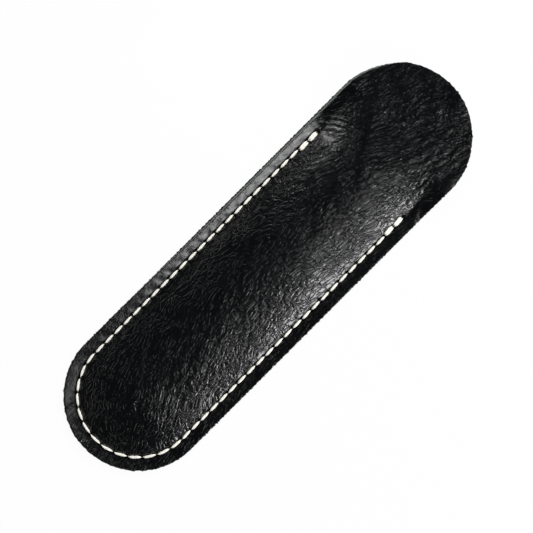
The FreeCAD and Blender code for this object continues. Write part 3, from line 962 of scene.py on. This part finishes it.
# The needle thread gets painted shade below its top, the bobbin thread above its bottom.
needle_finish = cream_thread("thread_needle", NEEDLE_TOP - 0.7 * MM, NEEDLE_TOP - 0.1 * MM)
needle_stitching = twisted_thread("needle_stitching", path, side, tight, needle_finish)
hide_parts("needle_thread")
path, side, tight = thread_path(bobbin_bed, BOBBIN_TOP)
bobbin_finish = cream_thread("thread_bobbin", BOBBIN_LOW + 0.7 * MM, BOBBIN_LOW + 0.1 * MM)
bobbin_stitching = twisted_thread("bobbin_stitching", path, side, tight, bobbin_finish)
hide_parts("bobbin_thread")
for stitching in (needle_stitching, bobbin_stitching):
    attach(stitching, "pocket")

# %% [markdown]
# ## Floor, light and camera
# The photograph is a cut-out on white. The floor shows itself white to the camera and keeps a faint
# shadow, and a white wall stands round a dark room. Black leather shows little but what it mirrors, so
# the soft boxes stand where it should shine. Four are on the sleeve's right, from a low one for steep
# slopes to a high one for gentle ones: the right flank and the tilted allowance on the left mirror them.
# Two small ones are for the left end of the seam and the lip beside it. A broad fill box is left out of
# reflections: it lights matt surfaces alone, which keeps the thread white and puts no glare on the
# leather.

# %% Floor and world
FLOOR_SIZE = 6.0
SHOWN_WHITE = 0.96


def white_floor():
    """Diffuse white that also shines by itself where the camera or a mirror sees it, so that only a faint
    shadow is left."""
    material, nodes, links, shader = new_material("white_floor")
    shader.inputs["Base Color"].default_value = (0.8, 0.8, 0.8, 1)
    shader.inputs["Roughness"].default_value = 0.9
    rays = nodes.new("ShaderNodeLightPath")
    seen = combine(nodes, links, "MAXIMUM", rays.outputs["Is Camera Ray"], rays.outputs["Is Glossy Ray"])
    seen = combine(nodes, links, "MAXIMUM", seen, rays.outputs["Is Transmission Ray"])
    glow = nodes.new("ShaderNodeEmission")
    mix = nodes.new("ShaderNodeMixShader")
    links.new(combine(nodes, links, "MULTIPLY", seen, SHOWN_WHITE), mix.inputs["Fac"])
    links.new(shader.outputs["BSDF"], mix.inputs[1])
    links.new(glow.outputs["Emission"], mix.inputs[2])
    links.new(mix.outputs["Shader"], nodes["Material Output"].inputs["Surface"])
    return material


half = FLOOR_SIZE / 2
floor_mesh = bpy.data.meshes.new("floor")
corners = [(-half, -half, 0), (half, -half, 0), (half, half, 0), (-half, half, 0)]
floor_mesh.from_pydata(corners, [], [(0, 1, 2, 3)])
floor_mesh.materials.append(white_floor())
floor = bpy.data.objects.new("floor", floor_mesh)
bpy.context.scene.collection.objects.link(floor)

WORLD_GREY = 0.04
HORIZON = 0.10


def studio_world():
    """A dark room with a white wall all round: the camera sees it white, a mirror sees the white fade out
    upwards, and it lights matt surfaces hardly at all."""
    world = bpy.data.worlds.new("studio")
    world.use_nodes = True
    nodes = world.node_tree.nodes
    links = world.node_tree.links
    rays = nodes.new("ShaderNodeLightPath")
    direction = nodes.new("ShaderNodeTexCoord")
    parts = nodes.new("ShaderNodeSeparateXYZ")
    links.new(direction.outputs["Generated"], parts.inputs["Vector"])
    wall = spread(nodes, links, parts.outputs["Z"], 0, HORIZON, 1, 0)
    glossy = rays.outputs["Is Glossy Ray"]
    mirrored = combine(nodes, links, "MAXIMUM", glossy, rays.outputs["Is Transmission Ray"])
    reflected = combine(nodes, links, "MULTIPLY", mirrored, wall)
    seen = combine(nodes, links, "MAXIMUM", rays.outputs["Is Camera Ray"], reflected)
    links.new(combine(nodes, links, "MAXIMUM", seen, WORLD_GREY), nodes["Background"].inputs["Strength"])
    nodes["Background"].inputs["Color"].default_value = (1, 1, 1, 1)
    return world


bpy.context.scene.world = studio_world()

# %% Soft boxes
def soft_box(name, place, aim, width, height, radiance):
    """A rectangular area light at a place, turned to a point, with its width level. Its power is the
    radiance times pi times the area."""
    lamp = bpy.data.lights.new(name, "AREA")
    lamp.shape = "RECTANGLE"
    lamp.size, lamp.size_y = width, height
    lamp.energy = radiance * math.pi * width * height
    box = bpy.data.objects.new(name, lamp)
    box.location = place
    box.rotation_euler = (Vector(aim) - Vector(place)).to_track_quat("-Z", "Y").to_euler()
    box.visible_camera = False
    bpy.context.scene.collection.objects.link(box)
    return box


soft_box("low_box", (0.038, -0.36, 0.037), (0.038, 0, 0.005), width=0.16, height=0.072, radiance=17.0)
soft_box("middle_box", (0.06, -0.42, 0.21), (0.02, 0, 0.005), width=0.16, height=0.16, radiance=1.6)
soft_box("high_box", (0.07, -0.36, 0.38), (0.02, 0, 0.005), width=0.18, height=0.18, radiance=2.2)
soft_box("top_box", (0.12, -0.30, 0.75), (0.0, 0, 0.005), width=0.30, height=0.26, radiance=1.3)
fill_box = soft_box("fill_box", (0.5, 0.1, 0.9), (0, 0, 0.005), width=0.80, height=0.80, radiance=6.4)
fill_box.visible_glossy = False
soft_box("side_box", (0.046, 0.078, 0.031), (0.046, 0, 0.008), width=0.008, height=0.028, radiance=7.5)
soft_box("lip_box", (0.056, 0.10, 0.14), (0.056, 0.015, 0.008), width=0.03, height=0.04, radiance=0.8)

# %% [markdown]
# ## Camera
# The sleeve lies on a diagonal, seen from straight above through a long lens, so the camera is rolled by
# half a right angle. Its height follows from the width of floor that the picture shows.

# %% Camera
LENS = 150.0
SENSOR = 36.0
PICTURE_PIXELS = 533
SLEEVE_PIXELS = 515
CENTRE_RIGHT_PIXELS = 0.9
CENTRE_UP_PIXELS = -0.7
OUTLINE_Z = 4.0 * MM

pixel = CUT_SIZE[1] / SLEEVE_PIXELS
picture_right = Vector((1, -1, 0)).normalized()
picture_up = Vector((1, 1, 0)).normalized()
middle = -(CENTRE_RIGHT_PIXELS * picture_right + CENTRE_UP_PIXELS * picture_up) * pixel
height = PICTURE_PIXELS * pixel * LENS / SENSOR
lens = bpy.data.cameras.new("camera")
lens.lens, lens.sensor_width = LENS, SENSOR
camera = bpy.data.objects.new("camera", lens)
axes = Matrix((picture_right, picture_up, Vector((0, 0, 1)))).transposed()
camera.matrix_world = Matrix.Translation(middle + Vector((0, 0, OUTLINE_Z + height))) @ axes.to_4x4()
bpy.context.scene.collection.objects.link(camera)
bpy.context.scene.camera = camera
bpy.context.scene.view_settings.view_transform = "Standard"
print("camera", round(height, 3), "m above the sleeve")
